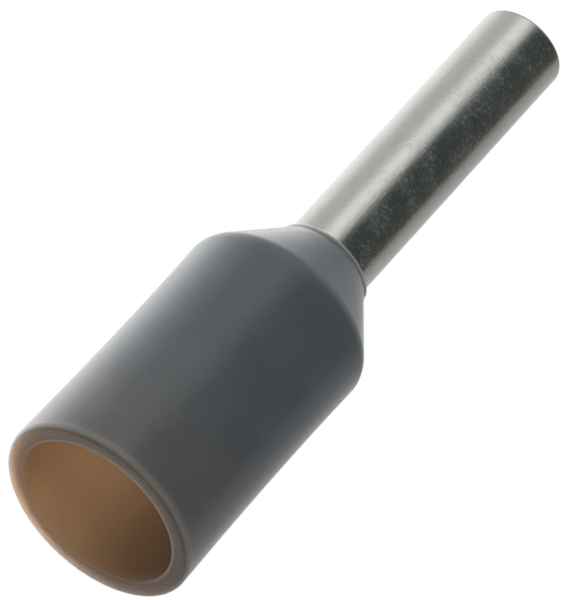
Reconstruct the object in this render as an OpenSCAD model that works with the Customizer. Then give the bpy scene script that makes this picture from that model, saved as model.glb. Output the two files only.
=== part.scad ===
// Insulated wire-end ferrule for stranded wire of 0.75 mm2.
//
// A tinned copper sleeve is pushed through a moulded polypropylene collar until its flared end
// seats in the collar's funnel. The wire's insulation goes into the socket, its strands go
// through the funnel into the sleeve, and the bare pin is crimped.
//
// Millimetres. The ferrule stands on the collar's mouth: the origin is the centre of the mouth,
// and +Z runs along the axis to the tip of the pin. Both pieces are turned round that axis.

/* [Lengths] */
// Length of the collar, from the mouth to the end of the neck
collar_l = 6.2; // [5.2:0.05:7.5]
// Length of the bare pin beyond the collar
pin_l = 5.8; // [4:0.05:12]

/* [Sleeve] */
// Bore for the wire's strands
bore_d = 1.22; // [1:0.01:1.45]
// Wall of the drawn tube
tube_wall = 0.15; // [0.12:0.005:0.18]
// Radius on the outside of the tube where it bends out into the flare
bend_r = 0.25; // [0.1:0.01:0.35]
// Rounding of the cut edges of the tube
cut_round = 0.035; // [0.02:0.005:0.05]

/* [Collar] */
// Bore of the socket for the wire's insulation
socket_d = 2.75; // [2.6:0.05:3.4]
// Wall of the skirt at its waist
waist_wall = 0.28; // [0.23:0.01:0.35]
// Wall of the skirt at the lip, where the skirt spreads
lip_wall = 0.33; // [0.25:0.01:0.4]
// Wall of the skirt at the shoulder
shoulder_wall = 0.3; // [0.25:0.01:0.36]
// Wall between the cone and the funnel inside it
cone_wall = 0.3; // [0.24:0.01:0.36]
// Height of the waist above the mouth
waist_z = 3.25; // [2.6:0.05:3.8]
// Angle of the cone, the funnel and the flare to the axis
cone_angle = 34; // [30:0.5:41]
// Wall of the neck round the tube
neck_wall = 0.078; // [0.05:0.002:0.1]
// Length of the neck
neck_l = 0.1; // [0.08:0.01:0.2]
// Taper of the neck, which lets it out of the mould
neck_draft = 5; // [3:1:10]

/* [Rounding] */
// Rounding of the outer edge of the lip
lip_round = 0.1; // [0.05:0.01:0.12]
// Rounding of the edge of the socket
socket_round = 0.06; // [0.03:0.01:0.08]
// Rounding of the shoulder
shoulder_round = 0.3; // [0.1:0.01:0.4]
// Fillet where the cone runs into the neck
neck_fillet = 0.12; // [0.05:0.01:0.15]
// Rounding of the end of the neck
neck_round = 0.03; // [0.015:0.005:0.04]
// Fillet where the socket runs into the funnel
funnel_fillet = 0.3; // [0.1:0.05:0.4]

/* [Fit] */
// Gap between the sleeve and the collar, all round
seat_gap = 0.01; // [0.005:0.005:0.03]
// Gap that lets the flare's rim pass up the socket to its seat
flare_gap = 0.175; // [0.1:0.005:0.3]

/* [Hidden] */
round_steps = 6;   // straight steps in each rounded corner
skirt_steps = 8;   // straight steps in each half of the skirt's hollow curve
$fn = 96;

bore_r = bore_d / 2;
tube_r = bore_r + tube_wall;
socket_r = socket_d / 2;
flare_r = socket_r - flare_gap;
waist_r = socket_r + waist_wall;
lip_r = socket_r + lip_wall;
shoulder_r = socket_r + shoulder_wall;

// The hole through the neck, and the neck round it, follow the tube
neck_bore_r = tube_r + seat_gap;
neck_r = neck_bore_r + neck_wall;
neck_foot_r = neck_r + neck_l * tan(neck_draft);

// The cone ends where the neck starts, so the shoulder's height follows from its slope
cone_end_z = collar_l - neck_l;
shoulder_z = cone_end_z - (shoulder_r - neck_foot_r) / tan(cone_angle);

// The funnel lies parallel to the cone, cone_wall inside it, from the socket to the neck's bore
funnel_end_z = cone_end_z - (cone_wall / cos(cone_angle) - neck_foot_r + neck_bore_r) / tan(cone_angle);
funnel_z = funnel_end_z - (socket_r - neck_bore_r) / tan(cone_angle);

// The sleeve bends out along the funnel, seat_gap inside it, to a rim cut square to its wall
bend_z = funnel_end_z - seat_gap * tan(cone_angle / 2);
inner_bend_z = bend_z - tube_wall * tan(cone_angle / 2);
flare_z = bend_z - (flare_r - tube_r) / tan(cone_angle);
rim_z = flare_z - tube_wall * sin(cone_angle);
rim_r = flare_r - tube_wall * cos(cone_angle);
tip_z = collar_l + pin_l;

function unit(v) = v / norm(v);
function point(corner) = [corner[0], corner[1]];

// Points of the arc that rounds corner b between a and c, spaced evenly in angle
function arc(a, b, c, radius) =
    let (
        to_a = unit(a - b),
        to_c = unit(c - b),
        half = acos(to_a * to_c) / 2,
        centre = b + unit(to_a + to_c) * radius / sin(half),
        start = b + to_a * radius / tan(half) - centre,
        end = b + to_c * radius / tan(half) - centre,
        sweep = 180 - 2 * half
    )
    [for (i = [0:round_steps])
        let (t = i / round_steps)
        centre + (sin((1 - t) * sweep) * start + sin(t * sweep) * end) / sin(sweep)];

// A closed outline from corners given as [radius from the axis, height, rounding]
function rounded(corners) =
    let (n = len(corners))
    [for (i = [0:n - 1])
        let (a = corners[(i + n - 1) % n], b = corners[i], c = corners[(i + 1) % n])
        each b[2] > 0 ? arc(point(a), point(b), point(c), b[2]) : [point(b)]];

// Outer radius of the skirt: one hollow curve from the lip to the waist and on to the shoulder
function skirt_r(z) =
    z < waist_z
        ? waist_r + (lip_r - waist_r) * pow(1 - z / waist_z, 2)
        : waist_r + (shoulder_r - waist_r) * pow((z - waist_z) / (shoulder_z - waist_z), 2);

// Heights at which the skirt's curve is drawn, between the lip and the shoulder
skirt_heights = concat(
    [for (i = [1:skirt_steps]) waist_z * i / skirt_steps],
    [for (i = [1:skirt_steps - 1]) waist_z + (shoulder_z - waist_z) * i / skirt_steps]
);

// One moulding: lip, skirt, shoulder, cone and neck outside, and socket, funnel and the hole
// for the sleeve inside
module collar() {
    outside = concat(
        [[lip_r, 0, lip_round]],
        [for (z = skirt_heights) [skirt_r(z), z, 0]],
        [
            [shoulder_r, shoulder_z, shoulder_round],
            [neck_foot_r, cone_end_z, neck_fillet],
            [neck_r, collar_l, neck_round],
        ]
    );
    inside = [
        [neck_bore_r, collar_l, 0],
        [neck_bore_r, funnel_end_z, bend_r - seat_gap],
        [socket_r, funnel_z, funnel_fillet],
        [socket_r, 0, socket_round],
    ];
    color([0.37, 0.39, 0.41])
        rotate_extrude()
            polygon(rounded(concat(outside, inside)));
}

// One length of tube, its inner end flared with the wall kept at full thickness
module sleeve() {
    outside = [
        [flare_r, flare_z, cut_round],
        [tube_r, bend_z, bend_r],
        [tube_r, tip_z, cut_round],
    ];
    inside = [
        [bore_r, tip_z, cut_round],
        [bore_r, inner_bend_z, bend_r + tube_wall],
        [rim_r, rim_z, cut_round],
    ];
    color([0.80, 0.80, 0.78])
        rotate_extrude()
            polygon(rounded(concat(outside, inside)));
}

collar();
sleeve();
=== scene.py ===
import math

import bpy
import numpy as np
from mathutils import Matrix, Vector


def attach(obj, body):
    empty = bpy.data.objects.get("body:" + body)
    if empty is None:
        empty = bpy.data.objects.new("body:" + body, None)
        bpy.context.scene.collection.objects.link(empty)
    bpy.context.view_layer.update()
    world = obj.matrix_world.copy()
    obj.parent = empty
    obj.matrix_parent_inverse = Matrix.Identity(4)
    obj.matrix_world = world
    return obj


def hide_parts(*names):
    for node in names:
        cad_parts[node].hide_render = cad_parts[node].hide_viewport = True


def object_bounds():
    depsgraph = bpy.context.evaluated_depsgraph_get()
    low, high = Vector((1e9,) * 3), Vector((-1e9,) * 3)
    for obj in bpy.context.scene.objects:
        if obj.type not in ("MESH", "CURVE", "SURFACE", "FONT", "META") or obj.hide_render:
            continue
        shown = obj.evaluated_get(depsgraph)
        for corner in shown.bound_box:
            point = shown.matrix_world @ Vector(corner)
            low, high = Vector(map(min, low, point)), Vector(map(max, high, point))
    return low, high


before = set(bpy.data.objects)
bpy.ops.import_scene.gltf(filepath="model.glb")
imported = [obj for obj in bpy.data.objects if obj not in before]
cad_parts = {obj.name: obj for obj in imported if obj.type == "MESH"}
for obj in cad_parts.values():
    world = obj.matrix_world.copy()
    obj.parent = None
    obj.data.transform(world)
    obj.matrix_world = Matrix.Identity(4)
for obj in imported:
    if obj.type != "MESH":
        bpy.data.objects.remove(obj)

# The frame's box gives the ferrule's length and width; the part stands on its mouth, axis up.
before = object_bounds()
MM = 0.001
foot, tip = before[0].z, before[1].z

# ---------------------------------------------------------------------------------------------
# Camera: a long lens a hand's breadth away, looking up into the mouth from below, with the axis
# leaning to the upper right.
# ---------------------------------------------------------------------------------------------
to_axis = math.radians(56.15)
lean = math.radians(47.6)
distance = 110.0 * MM

back = Vector((0, -math.sin(to_axis), -math.cos(to_axis)))
along = Vector((0, -math.cos(to_axis), math.sin(to_axis)))
across = Vector((1, 0, 0))
aim = Vector((0, 0, foot)) + (4.332 * along - 0.093 * across) * MM
right = math.cos(lean) * along + math.sin(lean) * across
up = math.sin(lean) * along - math.cos(lean) * across

eye = bpy.data.objects.new("camera", bpy.data.cameras.new("camera"))
eye.data.lens = 431.4
eye.data.sensor_width = 36
eye.data.clip_start = 10 * MM
eye.data.clip_end = 10
eye.matrix_world = Matrix((right, up, back)).transposed().to_4x4()
eye.location = aim + back * distance
bpy.context.scene.collection.objects.link(eye)
bpy.context.scene.camera = eye

# ---------------------------------------------------------------------------------------------
# Collar: one injection moulding in grey polypropylene with a satin skin. Its wall is a third of
# a millimetre, so light passes through it. The socket's inside is painted warm brown, lighter
# deeper in, as painted light for the light glowing through the wall.
# ---------------------------------------------------------------------------------------------
AROUND = 256

collar_l = 6.2
socket_r, waist_r, lip_r, shoulder_r = 1.375, 1.655, 1.705, 1.675
tube_r, bore_r, wall = 0.76, 0.61, 0.15
cone = math.radians(34)
neck_bore_r, neck_r, neck_foot_r = 0.77, 0.848, 0.8567
cone_end_z = collar_l - 0.1
shoulder_z = cone_end_z - (shoulder_r - neck_foot_r) / math.tan(cone)
funnel_end_z = cone_end_z - (0.3 / math.cos(cone) - neck_foot_r + neck_bore_r) / math.tan(cone)
funnel_z = funnel_end_z - (socket_r - neck_bore_r) / math.tan(cone)
waist_z = 3.25


def arc(a, b, c, radius, steps):
    """The circle of this radius that touches both sides of corner b, in even angles."""
    to_a = (a - b) / np.linalg.norm(a - b)
    to_c = (c - b) / np.linalg.norm(c - b)
    half = math.acos(to_a @ to_c) / 2
    centre = b + (to_a + to_c) / np.linalg.norm(to_a + to_c) * radius / math.sin(half)
    start = b + to_a * radius / math.tan(half) - centre
    end = b + to_c * radius / math.tan(half) - centre
    sweep = math.pi - 2 * half
    t = np.linspace(0, 1, steps + 1)[:, None]
    return centre + (np.sin((1 - t) * sweep) * start + np.sin(t * sweep) * end) / math.sin(sweep)


def rounded(corners, steps):
    """A closed outline from corners of (radius from the axis, height, rounding)."""
    spots = [np.array(corner[:2], float) for corner in corners]
    parts = []
    for i, (_, _, radius) in enumerate(corners):
        a, b, c = spots[i - 1], spots[i], spots[(i + 1) % len(spots)]
        parts.append(arc(a, b, c, radius, steps) if radius > 0 else b[None])
    return np.concatenate(parts)


def spaced(outline, step):
    """The same closed outline with points added, so that none are further apart than step."""
    parts = []
    for a, b in zip(outline, np.roll(outline, -1, axis=0)):
        count = max(1, math.ceil(np.linalg.norm(b - a) / step))
        parts.append(a + (b - a) * np.arange(count)[:, None] / count)
    return np.concatenate(parts)


def turned(name, radius, height, angle):
    """A closed surface from grids of radius, height and angle, round the axis and the outline."""
    rows, columns = radius.shape
    points = np.stack(
        [radius * np.cos(angle), radius * np.sin(angle), height + foot / MM], axis=-1
    )
    index = np.arange(rows * columns).reshape(rows, columns)
    below, beside = np.roll(index, -1, axis=0), np.roll(index, -1, axis=1)
    corner = np.roll(below, -1, axis=1)
    faces = np.stack([index, beside, corner, below], axis=-1).reshape(-1, 4)
    a, b, c, d = (points.reshape(-1, 3)[faces[:, i]] for i in range(4))
    volume = np.einsum("ij,ij->", a, np.cross(b, c)) + np.einsum("ij,ij->", a, np.cross(c, d))
    if volume < 0:
        faces = faces[:, ::-1]
    mesh = bpy.data.meshes.new(name)
    mesh.vertices.add(rows * columns)
    mesh.vertices.foreach_set("co", (points * MM).ravel())
    mesh.loops.add(faces.size)
    mesh.loops.foreach_set("vertex_index", faces.ravel().astype(np.int32))
    mesh.polygons.add(len(faces))
    mesh.polygons.foreach_set("loop_start", np.arange(0, faces.size, 4, dtype=np.int32))
    mesh.polygons.foreach_set("use_smooth", np.ones(len(faces), bool))
    mesh.update(calc_edges=True)
    mesh.validate()
    piece = bpy.data.objects.new(name, mesh)
    bpy.context.scene.collection.objects.link(piece)
    return piece


def skirt_r(z):
    """Radius of the hollow skirt: two parabolas that meet at the waist."""
    low = waist_r + (lip_r - waist_r) * (1 - z / waist_z) ** 2
    high = waist_r + (shoulder_r - waist_r) * ((z - waist_z) / (shoulder_z - waist_z)) ** 2
    return np.where(z < waist_z, low, high)


heights = np.linspace(0.14, shoulder_z - 0.12, 48)
corners = [(lip_r, 0, 0.1)]
corners += [(float(r), float(z), 0) for r, z in zip(skirt_r(heights), heights)]
corners += [
    (shoulder_r, shoulder_z, 0.3),
    (neck_foot_r, cone_end_z, 0.12),
    (neck_r, collar_l, 0.03),
    (neck_bore_r, collar_l, 0.006),
    (neck_bore_r, funnel_end_z, 0.24),
    (socket_r, funnel_z, 0.3),
    (socket_r, 0, 0.06),
]
outline = spaced(rounded(corners, 10), 0.12)
angle = np.linspace(0, 2 * np.pi, AROUND, endpoint=False)[None, :]
r = outline[:, :1] + 0 * angle
z = outline[:, 1:] + 0 * angle


def ragged(angle, waves, seed):
    """An uneven edge round the axis: a sum of cosines with seeded heights and starts."""
    draw = np.random.default_rng(seed)
    total = 0 * angle
    for count in waves:
        total = total + draw.uniform(0.4, 1.0) * np.cos(count * angle + draw.uniform(0, 2 * np.pi))
    return total / len(waves)


# The mould's halves leave a thin torn flash at one side of the neck's end
end = np.exp(-(((z - collar_l) / 0.035) ** 2)) * (r > tube_r + 0.03)
side = np.exp(-((((angle + 0.25 + np.pi) % (2 * np.pi) - np.pi) / 0.33) ** 2))
torn = np.clip(0.65 + 0.9 * ragged(angle, [9, 23, 31, 47, 64], 5), 0.1, 1.3)
r = r + end * (0.034 * side * torn + 0.003 * ragged(angle, [7, 11, 19, 26, 38], 8))
collar = turned("collar_moulding", r, z, angle + 0 * r)

# Which side of the wall's middle each point lies on
middle = (socket_r + shoulder_r) / 2 - (outline[:, 1] - (funnel_z + shoulder_z) / 2) * math.tan(cone)
middle = np.clip(middle, (neck_bore_r + neck_r) / 2, (socket_r + waist_r) / 2)
inside = (outline[:, 0] < middle).astype(np.float32)
wall_side = collar.data.attributes.new("inside", "FLOAT", "POINT")
wall_side.data.foreach_set("value", np.repeat(inside, AROUND))


def node(tree, kind, sockets=None, **settings):
    """A shader node with its settings, and its inputs joined or filled in."""
    made = tree.nodes.new(kind)
    for key, value in settings.items():
        setattr(made, key, value)
    for key, value in (sockets or {}).items():
        if isinstance(value, bpy.types.NodeSocket):
            tree.links.new(value, made.inputs[key])
        else:
            made.inputs[key].default_value = value
    return made


def math_node(tree, operation, a, b=0.0):
    """One sum, product or other step of arithmetic on two numbers or sockets."""
    return node(tree, "ShaderNodeMath", {0: a, 1: b}, operation=operation).outputs[0]


def between(tree, value, low, high, bottom=0.0, top=1.0):
    """A smooth step of value, from bottom at low to top at high."""
    return node(
        tree,
        "ShaderNodeMapRange",
        {"Value": value, "From Min": low, "From Max": high, "To Min": bottom, "To Max": top},
        interpolation_type="SMOOTHSTEP",
    ).outputs[0]


def blank(name):
    """A new material with no nodes in it, and its node tree."""
    made = bpy.data.materials.new(name)
    made.use_nodes = True
    made.node_tree.nodes.clear()
    return made, made.node_tree


def mixed(tree, share, first, second):
    """Two colours, or colour sockets, mixed by share."""
    return node(tree, "ShaderNodeMix", {0: share, 6: first, 7: second}, data_type="RGBA").outputs[2]


plastic, tree = blank("grey_polypropylene")
place = node(tree, "ShaderNodeTexCoord").outputs["Object"]
axes = node(tree, "ShaderNodeSeparateXYZ", {0: place}).outputs
radial = node(tree, "ShaderNodeVectorMath", {0: place, 1: (1, 1, 0)}, operation="MULTIPLY").outputs[0]
radial = node(tree, "ShaderNodeVectorMath", {0: radial}, operation="LENGTH").outputs["Value"]
inside = node(tree, "ShaderNodeAttribute", attribute_name="inside").outputs["Fac"]
height = axes["Z"]
inner = math_node(tree, "MULTIPLY", inside, between(tree, radial, 1.39 * MM, 1.44 * MM, 1.0, 0.0))
inner = math_node(tree, "MULTIPLY", inner, between(tree, height, 5.2 * MM, 5.6 * MM, 1.0, 0.0))

blotch = node(tree, "ShaderNodeTexNoise", {"Vector": place, "Scale": 900.0, "Detail": 3.0}).outputs[0]
rise = between(tree, height, 0.3 * MM, 3.6 * MM)
dark = mixed(tree, rise, (0.144, 0.150, 0.156, 1), (0.122, 0.150, 0.172, 1))
pale = mixed(tree, rise, (0.158, 0.164, 0.172, 1), (0.134, 0.165, 0.189, 1))
grey = mixed(tree, between(tree, blotch, 0.35, 0.65), dark, pale)
# Painted highlight: the lip's outer rounding is painted a lighter grey for the light line along the mouth's
# edge
painted_lip_highlight = math_node(
    tree,
    "MULTIPLY",
    between(tree, radial, 1.645 * MM, 1.69 * MM),
    between(tree, height, 0.09 * MM, 0.17 * MM, 1.0, 0.0),
)
# Painted shade: the downward end face round the mouth is painted almost black for the shade it lies in
painted_shade_ring = math_node(
    tree,
    "MULTIPLY",
    between(tree, radial, 1.40 * MM, 1.46 * MM),
    between(tree, height, 0.03 * MM, 0.08 * MM, 1.0, 0.0),
)
grey = mixed(tree, painted_shade_ring, grey, (0.05, 0.06, 0.063, 1))
grey = mixed(tree, painted_lip_highlight, grey, (0.185, 0.20, 0.21, 1))
scuff = node(
    tree, "ShaderNodeTexNoise", {"Vector": place, "Scale": 2600.0, "Detail": 5.0, "Roughness": 0.65}
).outputs[0]
worn = math_node(
    tree,
    "MULTIPLY",
    between(tree, scuff, 0.48, 0.72),
    between(tree, height, (shoulder_z - 0.15) * MM, (shoulder_z + 0.35) * MM, 0.0, 0.4),
)
grey = mixed(tree, worn, grey, (0.19, 0.20, 0.205, 1))
# Painted light: the socket's inside is painted warm brown, lighter deeper in, for light glowing through the
# thin wall
painted_glow_inside = mixed(
    tree, between(tree, height, 0.1 * MM, 0.8 * MM), (0.14, 0.102, 0.08, 1), (0.20, 0.15, 0.112, 1)
)
tone = mixed(tree, inner, grey, painted_glow_inside)
grain = node(tree, "ShaderNodeTexNoise", {"Vector": place, "Scale": 14000.0, "Detail": 2.0}).outputs[0]
wave = node(tree, "ShaderNodeTexNoise", {"Vector": place, "Scale": 1300.0, "Detail": 2.0}).outputs[0]
relief = node(tree, "ShaderNodeBump", {"Height": grain, "Strength": 0.35, "Distance": 0.003 * MM}).outputs[0]
relief = node(
    tree, "ShaderNodeBump", {"Height": wave, "Strength": 0.5, "Distance": 0.01 * MM, "Normal": relief}
).outputs[0]
satin = between(tree, blotch, 0.3, 0.7, 0.20, 0.26)
sheen = math_node(tree, "SUBTRACT", 1.0, inside)
thin = math_node(tree, "MAXIMUM", inner, between(tree, height, 0.06 * MM, 0.2 * MM, 1.0, 0.0))
depth = mixed(tree, thin, (0.10, 0.085, 0.075, 1), (0.18, 0.125, 0.09, 1))
shader = node(
    tree,
    "ShaderNodeBsdfPrincipled",
    {
        "Base Color": tone,
        "Roughness": satin,
        "Normal": relief,
        "IOR": 1.5,
        "Subsurface Weight": 1.0,
        "Subsurface Radius": depth,
        "Subsurface Scale": MM,
        "Sheen Weight": sheen,
        "Sheen Tint": (1.0, 0.95, 0.90, 1),
        "Sheen Roughness": 0.3,
    },
    subsurface_method="RANDOM_WALK_SKIN",
)
node(tree, "ShaderNodeOutputMaterial", {0: shader.outputs[0]})
collar.data.materials.append(plastic)
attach(collar, "root")
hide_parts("collar")

# ---------------------------------------------------------------------------------------------
# Sleeve: one length of drawn copper tube with a bright tin plating, its inner end flared out
# into the collar's funnel.
# ---------------------------------------------------------------------------------------------
bend_z = funnel_end_z - 0.01 * math.tan(cone / 2)
inner_bend_z = bend_z - wall * math.tan(cone / 2)
flare_r = 1.2
flare_z = bend_z - (flare_r - tube_r) / math.tan(cone)
rim_z = flare_z - wall * math.sin(cone)
rim_r = flare_r - wall * math.cos(cone)
tip_z = (tip - foot) / MM
corners = [
    (flare_r, flare_z, 0.035),
    (tube_r, bend_z, 0.25),
    (tube_r, tip_z, 0.035),
    (bore_r, tip_z, 0.035),
    (bore_r, inner_bend_z, 0.4),
    (rim_r, rim_z, 0.035),
]
outline = spaced(rounded(corners, 8), 0.3)
bare_from, bare_to = collar_l - 0.1, tip_z - 0.045
bare = np.arange(bare_from, bare_to, 0.02)[:, None]
bare = np.concatenate([0 * bare + tube_r, bare], axis=1)
outside = (outline[:, 0] > tube_r - 1e-6) & (outline[:, 1] > bare_from) & (outline[:, 1] < bare_to)
first, last = np.flatnonzero(outside)[[0, -1]]
outline = np.concatenate([outline[:first], bare, outline[last + 1 :]])
r = outline[:, :1] + 0 * angle
z = outline[:, 1:] + 0 * angle

# The plating is uneven: many shallow dimples, a few deeper pits, on the outside of the pin only
draw = np.random.default_rng(21)
outer = (r > tube_r - 0.03) & (z > collar_l)
dimples = (620, (0.018, 0.042), (0.0006, 0.0024))
pits = (50, (0.014, 0.02), (0.002, 0.0045))
for count, wide, deep in (dimples, pits):
    for _ in range(count):
        turn, level = draw.uniform(0, 2 * np.pi), draw.uniform(collar_l, tip_z)
        width = draw.uniform(*wide)
        depth = draw.uniform(*deep) * (1 if draw.uniform() < 0.7 else -0.5)
        sweep = ((angle - turn + np.pi) % (2 * np.pi) - np.pi) * tube_r
        r = r - outer * depth * np.exp(-(sweep**2 + (z - level) ** 2) / width**2)
sleeve = turned("tinned_tube", r, z, angle + 0 * r)

tin, tree = blank("tin_plating")
place = node(tree, "ShaderNodeTexCoord").outputs["Object"]
drawn = node(tree, "ShaderNodeMapping", {"Vector": place, "Scale": (1, 1, 0.08)}).outputs[0]
lines = node(tree, "ShaderNodeTexNoise", {"Vector": drawn, "Scale": 24000.0, "Detail": 3.0}).outputs[0]
stipple = node(tree, "ShaderNodeTexNoise", {"Vector": place, "Scale": 30000.0, "Detail": 2.0}).outputs[0]
patches = node(tree, "ShaderNodeTexNoise", {"Vector": place, "Scale": 1800.0, "Detail": 2.0}).outputs[0]
stipple = math_node(tree, "MULTIPLY", stipple, between(tree, patches, 0.42, 0.66, 0.15, 1.0))
dents = node(tree, "ShaderNodeTexVoronoi", {"Vector": place, "Scale": 24000.0}).outputs
some = node(tree, "ShaderNodeSeparateXYZ", {0: dents["Color"]}).outputs[0]
dents = math_node(
    tree, "MULTIPLY", between(tree, dents["Distance"], 0.0, 0.4), between(tree, some, 0.80, 0.84)
)
dents = math_node(tree, "MULTIPLY", dents, between(tree, patches, 0.42, 0.62, 0.15, 1.0))
relief = node(tree, "ShaderNodeBump", {"Height": lines, "Strength": 0.6, "Distance": 0.002 * MM}).outputs[0]
relief = node(
    tree, "ShaderNodeBump", {"Height": stipple, "Strength": 0.5, "Distance": 0.004 * MM, "Normal": relief}
).outputs[0]
relief = node(
    tree, "ShaderNodeBump", {"Height": dents, "Strength": 1.0, "Distance": 0.002 * MM, "Normal": relief}
).outputs[0]
# The saw leaves bare copper at the cut end
height = node(tree, "ShaderNodeSeparateXYZ", {0: place}).outputs["Z"]
cut = between(tree, height, (tip_z - 0.03) * MM, (tip_z - 0.01) * MM)
tone = mixed(tree, cut, (0.72, 0.72, 0.69, 1), (0.52, 0.36, 0.27, 1))
dull = between(tree, patches, 0.35, 0.65, 0.12, 0.2)
shader = node(
    tree,
    "ShaderNodeBsdfPrincipled",
    {
        "Base Color": tone,
        "Metallic": 1.0,
        "Roughness": dull,
        "Normal": relief,
    },
)
node(tree, "ShaderNodeOutputMaterial", {0: shader.outputs[0]})
sleeve.data.materials.append(tin)
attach(sleeve, "root")
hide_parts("sleeve")

# ---------------------------------------------------------------------------------------------
# Floor: a pale matt table top that the part stands on. Only a view from above sees it, and light and
# reflections pass through it.
# ---------------------------------------------------------------------------------------------
radius = 0.4
mesh = bpy.data.meshes.new("floor")
turn = np.linspace(0, 2 * np.pi, 64, endpoint=False)
rim = np.stack([radius * np.cos(turn), radius * np.sin(turn), 0 * turn + foot - 2e-6], axis=-1)
mesh.from_pydata(rim.tolist(), [], [list(range(64))])
floor = bpy.data.objects.new("floor", mesh)
bpy.context.scene.collection.objects.link(floor)

pale, tree = blank("pale_floor")
path = node(tree, "ShaderNodeLightPath").outputs
side = node(tree, "ShaderNodeNewGeometry").outputs["Backfacing"]
seen = math_node(tree, "MULTIPLY", path["Is Camera Ray"], math_node(tree, "SUBTRACT", 1.0, side))
clear = node(tree, "ShaderNodeBsdfTransparent").outputs[0]
matt = node(tree, "ShaderNodeBsdfDiffuse", {"Color": (0.8, 0.8, 0.8, 1)}).outputs[0]
glow = node(tree, "ShaderNodeEmission", {"Color": (1, 1, 1, 1), "Strength": 0.3}).outputs[0]
shown = node(tree, "ShaderNodeAddShader", {0: matt, 1: glow}).outputs[0]
place = node(tree, "ShaderNodeTexCoord").outputs["Object"]
reach = node(tree, "ShaderNodeVectorMath", {0: place}, operation="LENGTH").outputs["Value"]
fade = between(tree, reach, 0.03, 0.2, 1.0, 0.0)
surface = node(
    tree, "ShaderNodeMixShader", {0: math_node(tree, "MULTIPLY", seen, fade), 1: clear, 2: shown}
)
node(tree, "ShaderNodeOutputMaterial", {0: surface.outputs[0]})
mesh.materials.append(pale)

# ---------------------------------------------------------------------------------------------
# Light: a white sweep behind and below, a soft box to the left of the front, a pale wall at the
# left, and the dark room in front and to the right.
# ---------------------------------------------------------------------------------------------
world = bpy.data.worlds.new("studio")
bpy.context.scene.world = world
world.use_nodes = True
tree = world.node_tree
tree.nodes.clear()
direction = node(tree, "ShaderNodeTexCoord").outputs["Generated"]
axes = node(tree, "ShaderNodeSeparateXYZ", {0: direction}).outputs
turned_left = math_node(
    tree, "ARCTAN2", math_node(tree, "MULTIPLY", axes[0], -1.0), math_node(tree, "MULTIPLY", axes[1], -1.0)
)
bearing = node(
    tree,
    "ShaderNodeMapRange",
    {"Value": turned_left, "From Min": -math.pi, "From Max": math.pi, "To Min": 0.0, "To Max": 1.0},
).outputs[0]
ramp = node(tree, "ShaderNodeValToRGB", {0: bearing})
# (degrees to the left of the front, red, green, blue)
panorama = [
    (-180, 1.00, 1.00, 1.00),
    (-158, 0.52, 0.52, 0.52),
    (-138, 0.45, 0.45, 0.45),
    (-116, 0.37, 0.37, 0.37),
    (-100, 0.28, 0.28, 0.28),
    (-86, 0.085, 0.073, 0.06),
    (-70, 0.055, 0.058, 0.054),
    (-40, 0.042, 0.052, 0.054),
    (-10, 0.048, 0.060, 0.064),
    (1, 0.10, 0.11, 0.11),
    (10, 0.36, 0.37, 0.36),
    (20, 0.70, 0.71, 0.69),
    (30, 0.90, 0.91, 0.88),
    (42, 0.88, 0.89, 0.86),
    (53, 0.66, 0.67, 0.65),
    (64, 0.54, 0.54, 0.53),
    (76, 0.53, 0.53, 0.52),
    (98, 0.60, 0.60, 0.59),
    (116, 0.86, 0.86, 0.85),
    (140, 1.00, 1.00, 1.00),
]
stops = ramp.color_ramp.elements
while len(stops) < len(panorama):
    stops.new(0.5)
for stop, (degrees, *colour) in zip(stops, panorama):
    stop.position = (degrees + 180) / 360
    stop.color = (*colour, 1)
room = ramp.outputs[0]
ceiling = between(tree, axes[2], 0.6, 0.8)
room = mixed(tree, ceiling, room, (0.35, 0.35, 0.35, 1))
# The table below: what the matt plastic gets from it, and what the gloss shows of it
even = mixed(tree, 0.4, room, (0.42, 0.42, 0.42, 1))
under = mixed(tree, between(tree, axes[2], -0.1, 0.02, 0.84, 0.0), even, (0.12, 0.12, 0.12, 1))
shown = mixed(tree, between(tree, axes[2], -0.4, 0.0, 0.5, 0.0), room, (0.6, 0.6, 0.6, 1))
shown = mixed(tree, between(tree, axes[2], -0.62, -0.4, 0.75, 0.0), shown, (0.12, 0.12, 0.12, 1))
path = node(tree, "ShaderNodeLightPath").outputs
studio = node(tree, "ShaderNodeBackground", {0: shown, 1: 1.0}).outputs[0]
bright = node(tree, "ShaderNodeBackground", {0: under, 1: 1.6}).outputs[0]
white = node(tree, "ShaderNodeBackground", {0: (1, 1, 1, 1), 1: 1.0}).outputs[0]
lit = node(tree, "ShaderNodeMixShader", {0: path["Is Diffuse Ray"], 1: studio, 2: bright}).outputs[0]
lit = node(tree, "ShaderNodeMixShader", {0: path["Is Camera Ray"], 1: lit, 2: white}).outputs[0]
node(tree, "ShaderNodeOutputWorld", {0: lit})


def lamp(name, left, elevation, away, size, level, glossy):
    """A square soft lamp aimed at the part; level is the light it throws on a face turned to it."""
    a, e = math.radians(left), math.radians(elevation)
    way = Vector((-math.sin(a) * math.cos(e), -math.cos(a) * math.cos(e), math.sin(e)))
    light = bpy.data.lights.new(name, "AREA")
    light.size = size
    light.energy = level * math.pi * math.pi * away**2
    made = bpy.data.objects.new(name, light)
    made.location = way * away + Vector((0, 0, (foot + tip) / 2))
    made.rotation_euler = way.to_track_quat("Z", "Y").to_euler()
    made.visible_camera = False
    made.visible_glossy = glossy
    bpy.context.scene.collection.objects.link(made)


lamp("rim_lamp", 125, 25, 0.3, 0.15, 1.5, False)

bpy.context.scene.view_settings.view_transform = "Standard"
